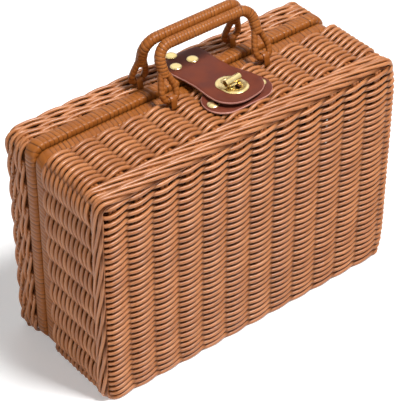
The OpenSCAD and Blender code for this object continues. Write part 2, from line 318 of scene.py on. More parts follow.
# %% Twined rows tree
weave, w = new_tree("twined rows", {
    "Path": "o", "Closed": "i", "Steps": "i", "Rows": "i", "Strands": "i", "Turns": "f",
    "Phase": "f", "First": "f", "Pitch": "f", "Across": "v", "Reach": "f", "Swell": "f", "Twist": "f",
    "Roll": "f", "Flatten": "f", "Pinch": "f", "Tight rows": "f", "Loosen": "f", "Radius": "f",
    "Sides": "i", "Wander": "f", "Seed": "f", "Material": "m"})
path = shape_of(weave, w["Path"])
line = add(weave, "GeometryNodeCurvePrimitiveLine")
line = add(weave, "GeometryNodeResampleCurve", {"Curve": line, "Count": w["Steps"]})
number = calc(weave, "MULTIPLY", w["Rows"], w["Strands"])
copies = add(weave, "GeometryNodeDuplicateElements", {"Geometry": line, "Amount": number},
             out=None, domain="SPLINE")
which = copies.outputs["Duplicate Index"]
strand = calc(weave, "MODULO", which, w["Strands"])
row = calc(weave, "DIVIDE", which, w["Strands"])
row = calc(weave, "FLOOR", row)
step = add(weave, "GeometryNodeSplineParameter", out=None).outputs["Index"]
last = calc(weave, "SUBTRACT", w["Steps"], 1.0)
last = calc(weave, "ADD", last, w["Closed"])
along = calc(weave, "DIVIDE", step, last)
spot = add(weave, "GeometryNodeSampleCurve", {"Curves": path, "Factor": along}, out=None, mode="FACTOR")
outward = vector(weave, "CROSS_PRODUCT", spot.outputs["Tangent"], w["Across"])
share = calc(weave, "DIVIDE", strand, w["Strands"])
turn = calc(weave, "MULTIPLY_ADD", along, w["Turns"], share)
start = calc(weave, "MULTIPLY_ADD", w["Phase"], math.pi, -math.pi / 2)
angle = calc(weave, "MULTIPLY_ADD", turn, 2 * math.pi, start)
bulge = calc(weave, "COSINE", angle)
climb = calc(weave, "SINE", angle)
middle = calc(weave, "ADD", row, 0.5)
middle = calc(weave, "DIVIDE", middle, w["Rows"])
edge = calc(weave, "MULTIPLY_ADD", middle, 2.0, -1.0)
edge = calc(weave, "ABSOLUTE", edge)
edge = calc(weave, "POWER", edge, 12.0)
sunk = calc(weave, "MULTIPLY", edge, w["Roll"])
fuller = calc(weave, "MULTIPLY_ADD", along, -2.0, 1.0)
fuller = calc(weave, "MULTIPLY_ADD", fuller, w["Swell"], w["Reach"])
flatter = calc(weave, "MULTIPLY", edge, w["Flatten"])
flatter = calc(weave, "SUBTRACT", 1.0, flatter)
fuller = calc(weave, "MULTIPLY", fuller, flatter)
proud = calc(weave, "MULTIPLY", bulge, fuller)
proud = calc(weave, "SUBTRACT", proud, sunk)
slack = calc(weave, "SUBTRACT", row, w["Tight rows"])
slack = calc(weave, "MAXIMUM", slack, 0.0)
slack = calc(weave, "POWER", slack, 2.0)
slack = calc(weave, "MULTIPLY_ADD", slack, w["Loosen"], w["First"])
level = calc(weave, "MULTIPLY_ADD", row, w["Pitch"], slack)
level = calc(weave, "MULTIPLY_ADD", climb, w["Twist"], level)
out_part = scaled(weave, outward, proud)
side_part = scaled(weave, w["Across"], level)
place = vector(weave, "ADD", spot.outputs["Position"], out_part)
place = vector(weave, "ADD", place, side_part)
offset = calc(weave, "MULTIPLY_ADD", which, 3.7, w["Seed"])
offset = add(weave, "ShaderNodeCombineXYZ", (offset, offset, offset))
shifted = vector(weave, "ADD", place, offset)
noise = add(weave, "ShaderNodeTexNoise",
            {"Vector": shifted, "Scale": 1 / (26 * MM), "Detail": 1.0}, out=1)
noise = vector(weave, "SUBTRACT", noise, (0.5, 0.5, 0.5))
noise = scaled(weave, noise, w["Wander"])
place = vector(weave, "ADD", place, noise)
pinch = calc(weave, "MULTIPLY", edge, w["Pinch"])
pinch = calc(weave, "SUBTRACT", 1.0, pinch)
pinch = add(weave, "ShaderNodeCombineXYZ", (pinch, 1.0, 1.0))
place = vector(weave, "MULTIPLY", place, pinch)
laid = add(weave, "GeometryNodeSetPosition", {"Geometry": copies.outputs[0], "Position": place})
laid = add(weave, "GeometryNodeSetSplineCyclic", {"Geometry": laid, "Cyclic": w["Closed"]})
tone = add(weave, "FunctionNodeRandomValue", {"ID": which, "Seed": 4}, out=1, data_type="FLOAT")
laid = store(weave, laid, "tone", tone)
# Painted shade: how far a strand dives behind its stake is stored for the material, which paints it darker and
# duller there; below, only faces turned outward keep it, so the inside stays plain.
depth = add(weave, "ShaderNodeMapRange", (bulge, 0.3, -0.3, 0.0, 1.0))
laid = store(weave, laid, "hollow", depth)
laid = store(weave, laid, "outward", outward, "FLOAT_VECTOR")
ring = add(weave, "GeometryNodeCurvePrimitiveCircle", {"Resolution": w["Sides"], "Radius": w["Radius"]})
tubes = add(weave, "GeometryNodeCurveToMesh", {"Curve": laid, "Profile Curve": ring, "Fill Caps": True})
facing = add(weave, "GeometryNodeInputNamedAttribute", {"Name": "outward"}, data_type="FLOAT_VECTOR")
facing = add(weave, "ShaderNodeVectorMath", (facing, add(weave, "GeometryNodeInputNormal")), out=1,
             operation="DOT_PRODUCT")
facing = add(weave, "ShaderNodeMapRange", (facing, -0.35, 0.1, 0.0, 1.0))
depth = add(weave, "GeometryNodeInputNamedAttribute", {"Name": "hollow"}, data_type="FLOAT")
depth = calc(weave, "MULTIPLY", depth, facing)
tubes = store(weave, tubes, "hollow", depth)
tubes = add(weave, "GeometryNodeRemoveAttribute", {"Geometry": tubes, "Name": "outward"})
end_tree(weave, tubes, w["Material"])
print("tree:", weave.name, len(weave.nodes), "nodes")

# %% [markdown]
# ## Stakes
# The stakes are the still rods that the strands twist round. They stand in pairs at
# even steps along a path: upright in the two big panels, front to back in the walls.

# %% Stakes tree
stakes, k = new_tree("stakes", {"Path": "o", "Count": "i", "First": "f", "Step": "f", "From": "v", "To": "v",
                                "Apart": "f", "Radius": "f", "Material": "m"})
path = shape_of(stakes, k["Path"])
dots = add(stakes, "GeometryNodePoints", {"Count": k["Count"]})
index = add(stakes, "GeometryNodeInputIndex")
pair = calc(stakes, "DIVIDE", index, 2.0)
pair = calc(stakes, "FLOOR", pair)
place = calc(stakes, "MULTIPLY_ADD", pair, k["Step"], k["First"])
spot = add(stakes, "GeometryNodeSampleCurve", {"Curves": path, "Factor": place}, out=None, mode="FACTOR")
beside = calc(stakes, "MODULO", index, 2.0)
beside = calc(stakes, "MULTIPLY_ADD", beside, 2.0, -1.0)
beside = calc(stakes, "MULTIPLY", beside, k["Apart"])
beside = scaled(stakes, spot.outputs["Tangent"], beside)
dots = add(stakes, "GeometryNodeSetPosition",
           {"Geometry": dots, "Position": spot.outputs["Position"], "Offset": beside})
rod = add(stakes, "GeometryNodeCurvePrimitiveLine", {"Start": k["From"], "End": k["To"]})
ring = add(stakes, "GeometryNodeCurvePrimitiveCircle", {"Resolution": 8, "Radius": k["Radius"]})
rod = add(stakes, "GeometryNodeCurveToMesh", {"Curve": rod, "Profile Curve": ring, "Fill Caps": True})
rods = add(stakes, "GeometryNodeInstanceOnPoints", {"Points": dots, "Instance": rod})
end_tree(stakes, rods, k["Material"])
print("tree:", stakes.name, len(stakes.nodes), "nodes")

# %% [markdown]
# ## Winding
# Flat cane goes round a rim or a handle turn by turn. The tree lays a grid along a
# path: one way runs along it, the other round its section. Each turn is a low crown
# with a groove at both edges, and the grid lines crowd together at the groove, so few
# faces draw a sharp seam. Where a hinge loop holds the rim, the section turns round.

# %% Winding tree
winding, g = new_tree("winding", {
    "Path": "o", "Closed": "f", "Wraps": "i", "Around": "i", "Half out": "f", "Half across": "f",
    "Squareness": "f", "Relief": "f", "Slant": "f", "Across": "v", "Neck x": "f", "Neck radius": "f",
    "Seed": "i", "Material": "m"})
STEPS = 4
path = shape_of(winding, g["Path"])
length_steps = calc(winding, "MULTIPLY", g["Wraps"], float(STEPS))
columns = calc(winding, "ADD", length_steps, 1.0)
lines = calc(winding, "ADD", g["Around"], 1.0)
grid = add(winding, "GeometryNodeMeshGrid",
           {"Size X": 1.0, "Size Y": 1.0, "Vertices X": columns, "Vertices Y": lines})
here = add(winding, "GeometryNodeInputPosition")
here = vector(winding, "ADD", here, (0.5, 0.5, 0.0))
both = add(winding, "ShaderNodeSeparateXYZ", (here,), out=None).outputs
wrap = calc(winding, "MULTIPLY", both[0], g["Wraps"])
crowd = calc(winding, "MULTIPLY", wrap, 2 * math.pi)
crowd = calc(winding, "SINE", crowd)
wrap = calc(winding, "MULTIPLY_ADD", crowd, -0.13, wrap)
across = calc(winding, "ADD", wrap, 1e-5)
across = calc(winding, "FRACT", across)
across = calc(winding, "MULTIPLY_ADD", across, 2.0, -1.0)
across = calc(winding, "ABSOLUTE", across)
seam = calc(winding, "POWER", across, 4.0)
gap_number = calc(winding, "ROUND", wrap)
gape = add(winding, "FunctionNodeRandomValue", {2: 0.3, 3: 1.0, "ID": gap_number, "Seed": g["Seed"]}, out=1,
           data_type="FLOAT")
seam_shade = calc(winding, "MULTIPLY", seam, gape)
round_angle = calc(winding, "MULTIPLY", both[1], 2 * math.pi)
cosine = calc(winding, "COSINE", round_angle)
sine = calc(winding, "SINE", round_angle)
lean = calc(winding, "MULTIPLY_ADD", sine, g["Slant"], wrap)
factor = calc(winding, "DIVIDE", lean, g["Wraps"])
looped = calc(winding, "FRACT", factor)
held = add(winding, "ShaderNodeClamp", (factor, 0.0, 1.0))
factor = blend(winding, g["Closed"], held, looped)
spot = add(winding, "GeometryNodeSampleCurve", {"Curves": path, "Factor": factor}, out=None, mode="FACTOR")
spot_parts = add(winding, "ShaderNodeSeparateXYZ", (spot.outputs["Position"],), out=None).outputs
outward = vector(winding, "CROSS_PRODUCT", spot.outputs["Tangent"], g["Across"])
outward = vector(winding, "NORMALIZE", outward)
near = calc(winding, "ABSOLUTE", spot_parts[0])
near = calc(winding, "SUBTRACT", near, g["Neck x"])
near = calc(winding, "ABSOLUTE", near)
near = add(winding, "ShaderNodeMapRange", (near, 5.0 * MM, 6.5 * MM, 1.0, 0.0), interpolation_type="SMOOTHSTEP")
low = calc(winding, "LESS_THAN", spot_parts[2], 40 * MM)
near = calc(winding, "MULTIPLY", near, low)
power = blend(winding, near, g["Squareness"], 2.0)
power = calc(winding, "DIVIDE", 2.0, power)
first_end = calc(winding, "MULTIPLY", both[0], length_steps)
other_end = calc(winding, "SUBTRACT", length_steps, first_end)
taper = calc(winding, "MINIMUM", first_end, other_end)
taper = calc(winding, "ADD", taper, g["Closed"])
taper = calc(winding, "MINIMUM", taper, 1.0)
halves = []
for label, wave in (("Half out", cosine), ("Half across", sine)):
    half = blend(winding, near, g[label], g["Neck radius"])
    groove = calc(winding, "MULTIPLY", seam, g["Relief"])
    half = calc(winding, "SUBTRACT", half, groove)
    half = calc(winding, "MULTIPLY", half, taper)
    size = calc(winding, "ABSOLUTE", wave)
    size = calc(winding, "POWER", size, power)
    sign = calc(winding, "SIGN", wave)
    size = calc(winding, "MULTIPLY", size, sign)
    halves.append(calc(winding, "MULTIPLY", size, half))
out_part = scaled(winding, outward, halves[0])
side_part = scaled(winding, g["Across"], halves[1])
place = vector(winding, "ADD", spot.outputs["Position"], out_part)
place = vector(winding, "ADD", place, side_part)
turn_number = calc(winding, "ADD", wrap, 1e-4)
turn_number = calc(winding, "FLOOR", turn_number)
tone = add(winding, "FunctionNodeRandomValue", {"ID": turn_number, "Seed": g["Seed"]}, out=1, data_type="FLOAT")
marked = store(winding, grid, "seam", seam_shade)
marked = store(winding, marked, "tone", tone)
wound = add(winding, "GeometryNodeSetPosition", {"Geometry": marked, "Position": place})
wound = add(winding, "GeometryNodeMergeByDistance", {"Geometry": wound, "Distance": 0.01 * MM})
end_tree(winding, wound, g["Material"])
print("tree:", winding.name, len(winding.nodes), "nodes")

# %% [markdown]
# ## Paths
# Trees follow paths. A hoop is a rectangle with round corners that runs clockwise as
# seen from the front, so that "across" towards the back makes "outward" point out.

# %% Path helpers
paths = []


def path_object(points, closed):
    """A plain poly curve for a tree to follow; removed once all is made."""
    curve = bpy.data.curves.new("path", "CURVE")
    curve.dimensions = "3D"
    spline = curve.splines.new("POLY")
    spline.points.add(len(points) - 1)
    for target, point in zip(spline.points, points):
        target.co = (*point, 1.0)
    spline.use_cyclic_u = closed
    holder = bpy.data.objects.new("path", curve)
    scene.collection.objects.link(holder)
    paths.append(holder)
    return holder


def hoop(half_w, half_h, radius, mid_z, rel_y=-PART_Y, mid_x=0.0, smooth=10):
    """Hoop points in the plane of the parting face, moved to rel_y."""
    points = []
    for cx, cz, start in ((-1, 1, 180), (1, 1, 90), (1, -1, 0), (-1, -1, -90)):
        for step in range(smooth + 1):
            a = math.radians(start - 90 * step / smooth)
            points.append(at(mid_x + cx * (half_w - radius) + radius * math.cos(a), rel_y,
                             mid_z + cz * (half_h - radius) + radius * math.sin(a)))
    return points


print("path helpers ready")

# %% [markdown]
# ## Weaving the front shell
# A stitch is about 25 mm long in the panels and 24 mm in the walls. The strands swing
# far out over each stake, and a pair crosses in the same plane between two stakes, so
# the rows read as chains of shallow arcs. The upper rows were beaten down less and gape.

# %% Weave helpers
STRAND_R = 1.66
REACH = 3.5
TWIST = 0.75
STITCH = 25.35
STITCH_STEPS = 9
BACKWARD = (0.0, 1.0, 0.0)
UPWARD = (0.0, 0.0, 1.0)


def twine(name, holder, closed, stitches, rows, first, pitch, across, seed, phase=0.0, reach=REACH,
          swell=0.0, twist=TWIST, strands=2, radius=STRAND_R, roll=0.0, flatten=0.0, pinch=0.0, tight=999.0,
          loosen=0.0, wander=0.5, sides=8, fine=STITCH_STEPS):
    """Rows of twisted strands; sizes in millimetres, two stitches make one turn."""
    steps = int(round(stitches * fine)) + (0 if closed else 1)
    return grow(name, weave, {
        "Path": holder, "Closed": int(closed), "Steps": steps, "Rows": rows, "Strands": strands,
        "Turns": stitches / 2, "Phase": phase, "First": first * MM, "Pitch": pitch * MM, "Across": across,
        "Reach": reach * MM, "Swell": swell * MM, "Twist": twist * MM, "Roll": roll * MM,
        "Flatten": flatten, "Pinch": pinch, "Tight rows": float(tight), "Loosen": loosen * MM,
        "Radius": radius * MM, "Sides": sides,
        "Wander": wander * MM, "Seed": float(seed), "Material": round_cane})


def stake_row(name, holder, stitches, phase, start, end, radius=1.8):
    """A pair of stakes in the middle of every stitch."""
    return grow(name, stakes, {"Path": holder, "Count": 2 * int(stitches), "First": (0.5 - phase) / stitches,
                               "Step": 1 / stitches, "From": start * MM, "To": end * MM,
                               "Apart": 1.02 * radius * MM, "Radius": radius * MM, "Material": round_cane})


def panel_path(direction, left, right, rel_y):
    """A line across a panel; its ends bend in behind the edge."""
    inward = 1 if rel_y < 0 else -1
    bend = [(0.0, 5.0), (1.2, 2.6), (3.0, 0.9), (5.5, 0.0)]
    shape = [(left + x, y) for x, y in bend] + [(right - x, y) for x, y in reversed(bend)]
    return path_object([at(direction * x, rel_y + inward * y, 0.0) for x, y in shape], False)


print("weave helpers ready")

# %% Front panel
PANEL_LEFT, PANEL_RIGHT = -153.5, 161.5
PANEL_ROWS, TIGHT_ROWS = 35, 29.0
panel_stitches = (PANEL_RIGHT - PANEL_LEFT) / STITCH
panel_phase = (PANEL_LEFT + 152.6) / STITCH
front_line = panel_path(1, PANEL_LEFT, PANEL_RIGHT, -88.1)
front_panel = join([
    twine("front_weave", front_line, False, panel_stitches, PANEL_ROWS, 3.0, 5.9, UPWARD, 1,
          phase=panel_phase, radius=1.84, twist=0.9, swell=0.35, roll=-1.6, flatten=0.75, pinch=0.03,
          tight=TIGHT_ROWS, loosen=0.2, wander=0.7),
    stake_row("front_stakes", front_line, panel_stitches, panel_phase, Vector((0, 0, 4.0)), Vector((0, 0, 213.0)))],
    "front_panel_weave")
count(front_panel)

# %% [markdown]
# The rounds of the wall run once about the case. Along the top the last two rounds are
# replaced by a second wale, so those two stop at the upper corners.

# %% Front wall
WALL_STITCHES = 42
WALL_PHASE = -0.16
front_points = hoop(156.3, 103.6, 7.0, MID_Z, mid_x=2.5)
front_hoop = path_object(front_points, True)
side_path = path_object(front_points[17:] + front_points[:5], False)
top_path = path_object([at(-147.0, -PART_Y, 205.0)] + front_points[4:18] + [at(147.0, -PART_Y, 205.0)], False)
front_wall = join([
    twine("front_rounds", front_hoop, True, WALL_STITCHES, 9, PART_Y - 16.1, -5.85, BACKWARD, 2,
          phase=WALL_PHASE, radius=1.9, wander=0.8),
    twine("side_rounds", side_path, False, 29.0, 2, PART_Y - 68.8, -5.85, BACKWARD, 3, radius=1.9,
          wander=0.8),
    twine("top_wale", top_path, False, 4.2, 1, PART_Y - 72.4, 0.0, BACKWARD, 4, reach=2.4, twist=-4.9,
          strands=6, wander=1.4, fine=30),
    stake_row("front_wall_stakes", front_hoop, WALL_STITCHES, WALL_PHASE, Vector((0, PART_Y - 13.0, 0)),
              Vector((0, PART_Y - 86.0, 0)))], "front_wall_weave")
count(front_wall)

# %% [markdown]
# ## Edge wale
# A wale is a flat rope: each strand runs over several stakes before it dives. On the
# left and on top it shows on the edge; at the right and below it lies behind the panel.

# %% Front wale
wale_points = hoop(157.2, 104.6, 7.0, MID_Z, -PART_Y - 85.8, mid_x=2.1)
for point in wale_points:
    hidden = max(point.x / MM - 120.0, 0.0) / 40.0 + max(40.0 - point.z / MM, 0.0) / 40.0
    point.y += 4.5 * MM * min(hidden, 1.0)
wale_hoop = path_object(wale_points, True)
front_wale = twine("front_edge_wale", wale_hoop, True, 14, 1, PART_Y, 0.0, BACKWARD, 5, reach=2.4, twist=-5.0,
                   strands=6, wander=1.4, fine=30)
count(front_wale)

# %% [markdown]
# ## Weaving the lid
# The lid's back is the same panel. Its low wall is waled: three strands at a time, each
# over two stakes and behind one, so long strands run along the edge like a flat rope.

# %% Lid weave
LID_STITCHES = 12.0
lid_line = panel_path(-1, -156.0, 156.0, 35.2)
lid_panel = join([
    twine("lid_weave", lid_line, False, LID_STITCHES, PANEL_ROWS, 3.5, 5.87, UPWARD, 6, reach=3.3,
          roll=-1.2, flatten=0.75, pinch=0.03, tight=TIGHT_ROWS, loosen=0.13, radius=2.05, twist=1.1,
          wander=0.6),
    stake_row("lid_stakes", lid_line, LID_STITCHES, 0.0, Vector((0, 0, 4.0)), Vector((0, 0, 211.0)), radius=2.8)],
    "lid_panel_weave")
count(lid_panel)
lid_hoop = path_object(hoop(155.8, 103.3, 8.0, LID_MID_Z + 0.8, mid_x=1.8), True)
WALE_STITCHES = WALL_STITCHES * 2 // 3
lid_wall = join([
    twine("lid_rounds", lid_hoop, True, WALE_STITCHES, 2, PART_Y + 18.5, 5.9, BACKWARD, 7, reach=2.5, twist=-2.3,
          strands=3, wander=1.0, fine=14),
    stake_row("lid_wall_stakes", lid_hoop, WALL_STITCHES, 0.0, Vector((0, PART_Y + 14.2, 0)),
              Vector((0, PART_Y + 34.0, 0)))], "lid_wall_weave")
count(lid_wall)
lid_edge_hoop = path_object(hoop(153.4, 100.8, 8.0, LID_MID_Z + 0.8, mid_x=1.6), True)
lid_wale = join([
    twine("lid_edge", lid_hoop, True, WALE_STITCHES, 2, PART_Y + 30.1, 5.9, BACKWARD, 8, phase=0.4, reach=2.7,
          twist=-2.4, strands=3, wander=1.0, fine=14),
    twine("lid_roll", lid_edge_hoop, True, WALL_STITCHES, 1, PART_Y + 38.6, 0.0, BACKWARD, 9, reach=2.2,
          wander=0.6)], "lid_edge_wale")
count(lid_wale)

# %% [markdown]
# ## Wound rims
# Each shell ends in a flat hoop wound with cane. The lid's hoop is a little larger and
# stands above the front one, which gives the bright lip along the top.

# %% Rims
HINGE_X = 89.6


def wind(name, holder, closed, wraps, half_out, half_across, across, seed, square=2.0, relief=0.28,
         slant=0.0, neck_x=9999.0, neck_r=1.0, around=20):
    """Flat cane wound on a path; sizes in millimetres, slant in turns."""
    return grow(name, winding, {
        "Path": holder, "Closed": float(closed), "Wraps": wraps, "Around": around, "Half out": half_out * MM,
        "Half across": half_across * MM, "Squareness": square, "Relief": relief * MM, "Slant": slant,
        "Across": across, "Neck x": neck_x * MM, "Neck radius": neck_r * MM, "Seed": seed,
        "Material": wound_cane})


front_rim_path = path_object(hoop(152.4, 100.3, 7.5, MID_Z, -6.6, 1.6), True)
front_rim = wind("front_rim_wound", front_rim_path, True, 230, 4.5, 6.3, BACKWARD, 1, square=4.2,
                 slant=0.45, neck_x=HINGE_X, neck_r=4.1)
count(front_rim)
lid_rim_path = path_object(hoop(153.8, 102.4, 8.0, 111.1, 7.1, 1.8), True)
lid_rim = wind("lid_rim_wound", lid_rim_path, True, 234, 4.5, 6.8, BACKWARD, 2, square=3.3,
               relief=0.4, slant=-0.3, neck_x=HINGE_X, neck_r=4.1)
count(lid_rim)

# %% [markdown]
# ## Handles
# A handle is one bent rod. At each foot the rod opens into a narrow eye, and a flat
# tie through the eye holds it to the wall. The grip and the eyes are wound like the
# rims. The path is drawn upright first and then leans as the photograph shows.

# %% Handle helper
SPAN = 101.0
RISE = 45.0
PIVOT_Z = 221.2
BEND = 13.0
FRONT_FEET = (21.0, -19.59)
LID_FEET = (16.0, 20.15)


def smooth_loop(points, parts=6):
    """A closed smooth curve through points."""
    result = []
    total = len(points)
    for i in range(total):
        p0, p1, p2, p3 = (Vector(points[(i + j) % total]) for j in (-1, 0, 1, 2))
        for step in range(parts):
            t = step / parts
            result.append(0.5 * ((2 * p1) + (p2 - p0) * t + (2 * p0 - 5 * p1 + 4 * p2 - p3) * t * t
                                 + (3 * p1 - p0 - 3 * p2 + p3) * t ** 3))
    return result


def make_handle(name, x, rel_y, lean, seed):
    """Grip and two eyes, leaning by so many degrees towards +Y."""
    turn = Matrix.Rotation(math.radians(-lean), 3, "X")
    base = at(x, rel_y, PIVOT_Z)

    def lay(u, v):
        return base + turn @ Vector((u * MM, 0.0, v * MM))
    across = turn @ Vector(BACKWARD)
    half = SPAN / 2
    grip = [(-half, 20.0), (-half, 26.0)]
    grip += [(-half + BEND - BEND * math.cos(a * math.pi / 20), RISE - BEND + BEND * math.sin(a * math.pi / 20))
             for a in range(11)]
    grip += [(-u, v) for u, v in reversed(grip)]
    pieces = [wind(name, path_object([lay(u, v) for u, v in grip], False), False, 46, 4.9, 4.9, across, seed,
                   relief=0.35, slant=0.35, around=18)]
    eye = [(-4.5, 0.5), (4.5, 0.5), (7.0, 4.5), (6.9, 10.0), (4.8, 17.0), (2.6, 23.0),
           (0.0, 26.0), (-2.6, 23.0), (-4.8, 17.0), (-6.9, 10.0), (-7.0, 4.5)]
    for s in (-1, 1):
        ring = [lay(s * half + p[0], p[1]) for p in reversed(smooth_loop([(u, v, 0) for u, v in eye]))]
        pieces.append(wind(name + "_eye", path_object(ring, True), True, 18, 2.9, 2.9, across, seed + 7 + s,
                           relief=0.3, slant=0.3, around=14))
    return join(pieces, name)


front_handle = make_handle("front_handle_wound", *FRONT_FEET, 25.5, 11)
count(front_handle)
lid_handle = make_handle("lid_handle_wound", *LID_FEET, -14.0, 21)
count(lid_handle)

# %% [markdown]
# ## Leather
# Strap and patch are vegetable-tanned leather, dyed through to a red brown: a smooth,
# softly shining face with fine grain. The cut edges and their narrow chamfers are
# paler, which draws a thin light line round every piece: partly the paler cut edge,
# partly a painted highlight along the edge.

# %% Leather materials


def leather_material(name, dark, light, rough):
    material, tree, shader = new_material(name)
    where = add(tree, "ShaderNodeTexCoord", out=3)
    cloud = add(tree, "ShaderNodeTexNoise", {"Vector": where, "Scale": 1 / (14 * MM), "Detail": 5.0})
    grain = add(tree, "ShaderNodeTexVoronoi", {"Vector": where, "Scale": 1 / (0.9 * MM)})
    tree.links.new(ramp_of(tree, cloud, ((0.32, dark), (0.68, light))), shader.inputs["Base Color"])
    shine = add(tree, "ShaderNodeMapRange", (cloud, 0.3, 0.7, rough - 0.06, rough + 0.08))
    tree.links.new(shine, shader.inputs["Roughness"])
    bump = add(tree, "ShaderNodeBump", {"Height": grain, "Strength": 0.18, "Distance": 0.15 * MM})
    tree.links.new(bump, shader.inputs["Normal"])
    shader.inputs["IOR"].default_value = 1.2
    return material


leather = leather_material("red brown leather", "#5B2A1F", "#6D3524", 0.5)
# Painted highlight: the pale edge colour is partly the lighter cut edge and partly painted to stand in for the
# light the edges catch.
leather_edge_highlight = leather_material("cut edge and painted highlight", "#A87368", "#C59283", 0.6)
print("materials:", leather.name, leather_edge_highlight.name)

# %% [markdown]
# ## Strap
# The strap is one piece of leather. It is riveted to the lid, and its front part lifts
# off the lock. The mesh is one and is drawn with its bend at the rim; it is not attached
# to either body. Its outline is given by the half width at each distance from the bend.

# %% Strap mesh
STRAP_X = 15.0
BEND_Y = 10.2
SKEW = math.radians(7.0)
RISE_ANGLE = math.radians(4.0)
STRAP_TOP = 220.1
LEATHER_T = 1.8
TIP_R = 20.0
TONGUE = 73.0
BACK = 28.0
LOCK_R = 48.4


def strap_point(u, along, height):
    """A point of the strap: u across, along towards the tip, height above its face."""
    if along >= 0:
        y, z = -along * math.cos(RISE_ANGLE), along * math.sin(RISE_ANGLE) + height
        y += height * math.sin(RISE_ANGLE)
    else:
        sag = max(0.0, -along - 15.0)
        y, z = -along - 0.02 * sag * sag, height - 0.022 * sag * sag
    x = u * math.cos(SKEW) - y * math.sin(SKEW)
    y = u * math.sin(SKEW) + y * math.cos(SKEW)
    return at(STRAP_X + x, BEND_Y + y, STRAP_TOP + z)


def half_width(along):
    """Half the strap's width: a waist behind the lock, then a bell and a round tip."""
    if along > TONGUE - TIP_R:
        return 5.5 + math.sqrt(max(0.0, TIP_R ** 2 - (along - TONGUE + TIP_R) ** 2))
    places = ((-BACK, 20.2), (-14.0, 20.3), (0.0, 20.2), (14.0, 20.4), (26.0, 21.3), (36.0, 23.2),
              (45.0, 25.0), (53.0, 25.5))
    for (a, half_a), (b, half_b) in zip(places, places[1:]):
        if along <= b:
            return half_a + (half_b - half_a) * (along - a) / (b - a)
    return 25.5


def right_half(along):
    """The right side flares towards the back, where that corner is cut off askew."""
    flare = 5.0 * min(max((30.0 - along) / 36.0, 0.0), 1.0)
    cut = max(-15.0 - along, 0.0) / 13.0
    return half_width(along) + flare - 29.0 * cut ** 1.5


def skin(mesh, rings, material_of):
    """Faces from each ring to the next."""
    size = len(rings[0])
    for level, (a, b) in enumerate(zip(rings, rings[1:])):
        for i in range(size):
            face = mesh.faces.new((a[i], a[(i + 1) % size], b[(i + 1) % size], b[i]))
            face.material_index = material_of(level, i)
            face.smooth = True


def solid_from_rings(name, rings, mat_of_ring, materials):
    """A closed mesh from rings of points, each ring a section."""
    mesh = bmesh.new()
    made = [[mesh.verts.new(p) for p in ring] for ring in rings]
    skin(mesh, made, lambda level, i: mat_of_ring(i))
    for ring in (made[0], made[-1]):
        face = mesh.faces.new(ring)
        face.material_index = len(materials) - 1
    return to_piece(mesh, name, materials)


ACROSS = 12
stations = [-BACK + i * 2.0 for i in range(14)] + [-0.6 + i * 0.4 for i in range(4)]
stations += [2.0 + i * 3.0 for i in range(18)]
stations += [53.0 + TIP_R * math.sin(math.pi / 2 * i / 12) for i in range(1, 13)]
CHAMFER = 0.38
rings = []
for along in stations:
    half, right = half_width(along), right_half(along)
    top = [(-half + CHAMFER + (half + right - 2 * CHAMFER) * i / ACROSS, 0.0) for i in range(ACROSS + 1)]
    low = [(u, -LEATHER_T) for u, _ in reversed(top)]
    loop = top + [(right, -CHAMFER), (right, CHAMFER - LEATHER_T)]
    loop += low + [(-half, CHAMFER - LEATHER_T), (-half, -CHAMFER)]
    rings.append([strap_point(u, along, h) for u, h in loop])
plain = set(range(ACROSS)) | set(range(ACROSS + 3, 2 * ACROSS + 3))
strap = solid_from_rings("leather_strap", rings, lambda i: 0 if i in plain else 1, (leather, leather_edge_highlight))
count(strap)

# %% [markdown]
# ## Slot in the strap
# The turn bar passes through a slot. A cutter of the slot's outline is subtracted, and
# the result is kept as a plain mesh.

# %% Cut the slot


def stadium(length, width, parts=10):
    """Outline of a slot along the strap, counter-clockwise, centred on zero."""
    straight = (length - width) / 2
    points = []
    for s in (1, -1):
        for step in range(parts + 1):
            a = math.pi * step / parts + (0 if s > 0 else math.pi)
            points.append((width / 2 * math.cos(a), s * straight + width / 2 * math.sin(a)))
    return points


LOCK_ALONG = LOCK_R / math.cos(RISE_ANGLE)
cutter = solid_from_rings("cutter", [
    [strap_point(u, LOCK_ALONG + v, h) for u, v in stadium(19.8, 8.8)] for h in (-6.0, 4.0)],
    lambda i: 0, (leather_edge_highlight,))
cut = strap.modifiers.new("slot", "BOOLEAN")
cut.operation = "DIFFERENCE"
cut.solver = "EXACT"
cut.object = cutter
graph = bpy.context.evaluated_depsgraph_get()
strap.data = bpy.data.meshes.new_from_object(strap.evaluated_get(graph), depsgraph=graph)
strap.modifiers.clear()
bpy.data.objects.remove(cutter)
count(strap)

# %% [markdown]
# ## Patch under the lock
# A long oval of the same leather lies on the top wall. Its rings run from the middle
# of the face out over the cut edge to the underside.

# %% Patch mesh
PATCH_X, PATCH_REL_Y, PATCH_W, PATCH_D = 20.67, -44.5, 67.0, 37.0
PATCH_TOP, PATCH_T = 218.9, 1.8


def turned_plate(name, outline_of, levels, place, materials, mat_of_level):
    """A flat plate from nested outlines: levels are (inset, height) from the face to the back."""
    mesh = bmesh.new()
    made = [[mesh.verts.new(place(u, v, h)) for u, v in outline_of(inset)] for inset, h in levels]
    skin(mesh, made, lambda level, i: mat_of_level(level))
    if levels[0] != levels[-1]:
        for ring in (made[0], made[-1]):
            mesh.faces.new(ring)
    return to_piece(mesh, name, materials)


patch = turned_plate(
    "leather_patch",
    lambda inset: [(v, u) for u, v in reversed(stadium(PATCH_W - 2 * inset, PATCH_D - 2 * inset, 16))],
    [(14.0, 0.0), (6.0, 0.0), (CHAMFER, 0.0), (0.0, -CHAMFER), (0.0, CHAMFER - PATCH_T), (CHAMFER, -PATCH_T),
     (14.0, -PATCH_T)],
    lambda u, v, h: at(PATCH_X + u, PATCH_REL_Y + v, PATCH_TOP + h), (leather, leather_edge_highlight),
    lambda level: 1 if 2 <= level <= 4 else 0)
count(patch)

# %% [markdown]
# ## Brass
# The fittings are thin steel, plated with pale brass and polished. The plating is
# smooth, with faint rubbing marks that only show in its gloss.

